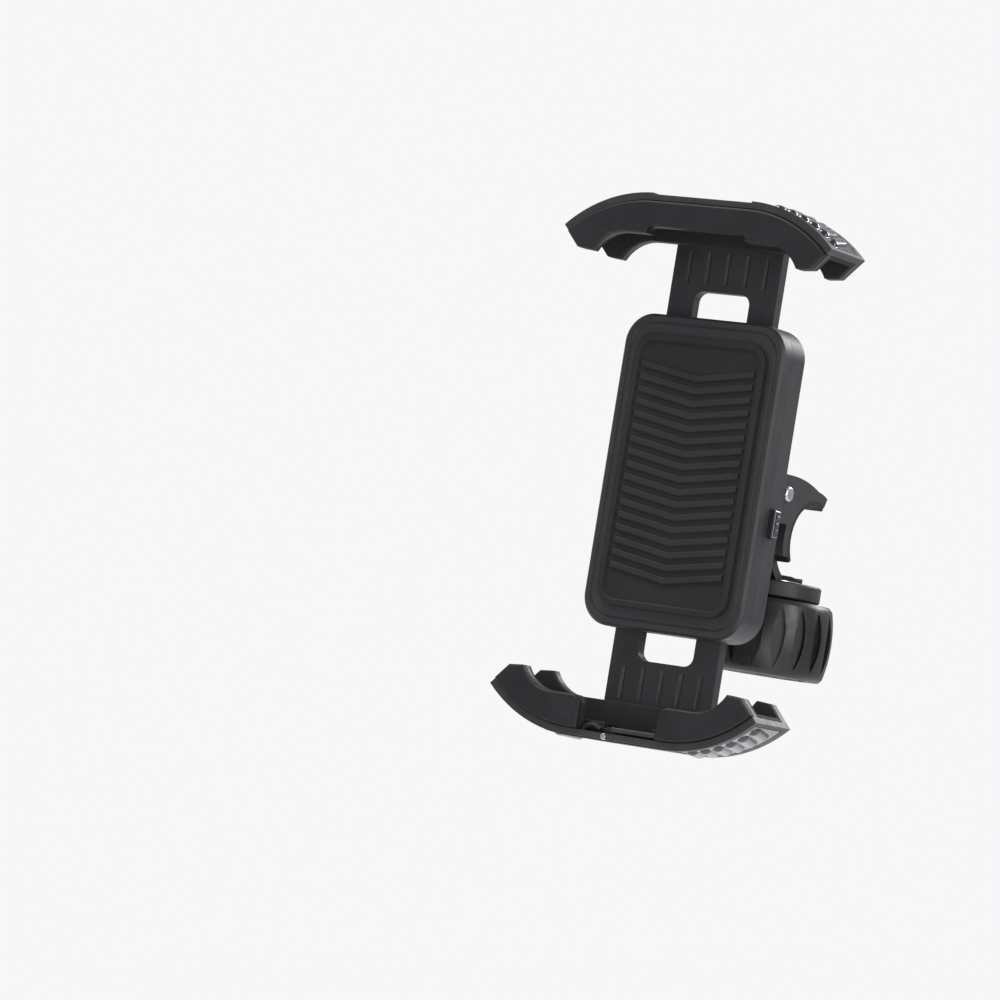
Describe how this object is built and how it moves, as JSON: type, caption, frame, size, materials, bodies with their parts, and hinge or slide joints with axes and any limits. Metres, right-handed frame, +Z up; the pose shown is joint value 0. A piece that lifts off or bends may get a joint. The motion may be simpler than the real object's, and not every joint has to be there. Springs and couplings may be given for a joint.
{
  "type": "handlebar phone mount",
  "caption": "Handlebar phone mount: two bow-shaped jaws on a geared slide, a ball joint with a locking ring, and a hook clamp tightened by a big fluted knob.",
  "frame": {"origin": "middle of the handlebar bore", "axes": "+X along the handlebar, -Y towards the rider, +Z up along the knob's axis"},
  "size_m": [0.09, 0.097, 0.1598],
  "materials": {
    "body_nylon": "fine-grained matt",
    "lip_nylon": "smooth matt",
    "rubber": "matt",
    "knob_nylon": "satin",
    "gloss_black": "gloss",
    "arm_nylon": "satin",
    "zinc_steel": "zinc plated",
    "spring_steel": "bright",
    "brass": "turned",
    "acetal": "smooth"
  },
  "bodies": {
    "clamp": {"clamp_body": "body_nylon", "clamp_rubber": "rubber", "thread_bush": "brass", "ball_stem": "arm_nylon", "neck_pin": "zinc_steel"},
    "plate": {"pressing_plate": "zinc_steel", "plate_rubber": "rubber"},
    "knob_set": {"pressing_screw": "zinc_steel", "knob": "knob_nylon", "knob_core": "brass", "knob_cap": "knob_nylon"},
    "ring_liner": {"friction_ring": "acetal"},
    "cup_liner": {"friction_cup": "acetal"},
    "casing": {"front_cover": "body_nylon", "back_cover": "body_nylon", "front_pad": "rubber", "case_screws": "zinc_steel", "pinion_pin": "zinc_steel", "lever_pin": "zinc_steel", "lever_spring": "spring_steel", "upper_spring": "spring_steel", "lower_spring": "spring_steel"},
    "lock_ring": {"locking_ring": "knob_nylon"},
    "upper_jaw": {"upper_arm": "arm_nylon", "upper_jaw_shell": "body_nylon", "upper_lip_plate": "lip_nylon", "upper_liner": "rubber", "upper_grip_right": "gloss_black", "upper_grip_left": "gloss_black", "upper_jaw_screws": "zinc_steel", "upper_lip_screws": "zinc_steel"},
    "lower_jaw": {"lower_arm": "arm_nylon", "lower_jaw_shell": "body_nylon", "lower_lip_plate_left": "lip_nylon", "lower_lip_plate_right": "lip_nylon", "lower_liner": "rubber", "lower_grip_right": "gloss_black", "lower_grip_left": "gloss_black", "lower_jaw_screws": "zinc_steel", "lower_lip_screws": "zinc_steel"},
    "gear": {"pinion": "acetal"},
    "button": {"release_button": "gloss_black"},
    "lever": {"brake_lever": "acetal"}
  },
  "joints": [
    {"name": "knob_turn", "type": "hinge", "parent": "plate", "child": "knob_set", "pos_m": [0, 0, -0.03], "axis": [0, 0, 1], "range_deg": [-575, 0]},
    {"name": "plate_lift", "type": "slide", "parent": "clamp", "child": "plate", "axis": [0, 0, 1], "range_m": [-0.002, 0]},
    {"name": "ball_tilt", "type": "hinge", "parent": "clamp", "child": "ring_liner", "pos_m": [0, -0.041, 0.011], "axis": [1, 0, 0], "range_deg": [-20, 20]},
    {"name": "ball_pan", "type": "hinge", "parent": "ring_liner", "child": "cup_liner", "pos_m": [0, -0.041, 0.011], "axis": [0, 0, 1], "range_deg": [-20, 20]},
    {"name": "ball_turn", "type": "hinge", "parent": "cup_liner", "child": "casing", "pos_m": [0, -0.041, 0.011], "axis": [0, 1, 0], "continuous": true},
    {"name": "ring_turn", "type": "hinge", "parent": "casing", "child": "lock_ring", "pos_m": [0, -0.041, 0.011], "axis": [0, 1, 0], "range_deg": [0, 360]},
    {"name": "upper_slide", "type": "slide", "parent": "casing", "child": "upper_jaw", "axis": [0, 0, 1], "range_m": [-0.005, 0.01], "deforming": ["upper_spring"]},
    {"name": "lower_slide", "type": "slide", "parent": "casing", "child": "lower_jaw", "axis": [0, 0, -1], "range_m": [-0.005, 0.01], "deforming": ["lower_spring"]},
    {"name": "pinion_spin", "type": "hinge", "parent": "casing", "child": "gear", "pos_m": [0, -0.0546, 0.011], "axis": [0, 1, 0], "range_deg": [-76.5, 38.3]},
    {"name": "button_press", "type": "slide", "parent": "casing", "child": "button", "axis": [-1, 0, 0], "range_m": [0, 0.0015], "stiffness_N_per_m": 600, "springref_m": -0.001},
    {"name": "lever_rock", "type": "hinge", "parent": "casing", "child": "lever", "pos_m": [0.0213, -0.0546, 0.011], "axis": [0, 1, 0], "range_deg": [0, 9.1]}
  ],
  "couplings": [
    {"joint": "plate_lift", "follows": "knob_turn", "m_per_rad": 0.00019894},
    {"joint": "lower_slide", "follows": "upper_slide", "ratio": 1},
    {"joint": "pinion_spin", "follows": "upper_slide", "rad_per_m": -133.33},
    {"joint": "lever_rock", "follows": "button_press", "rad_per_m": 104.72}
  ]
}
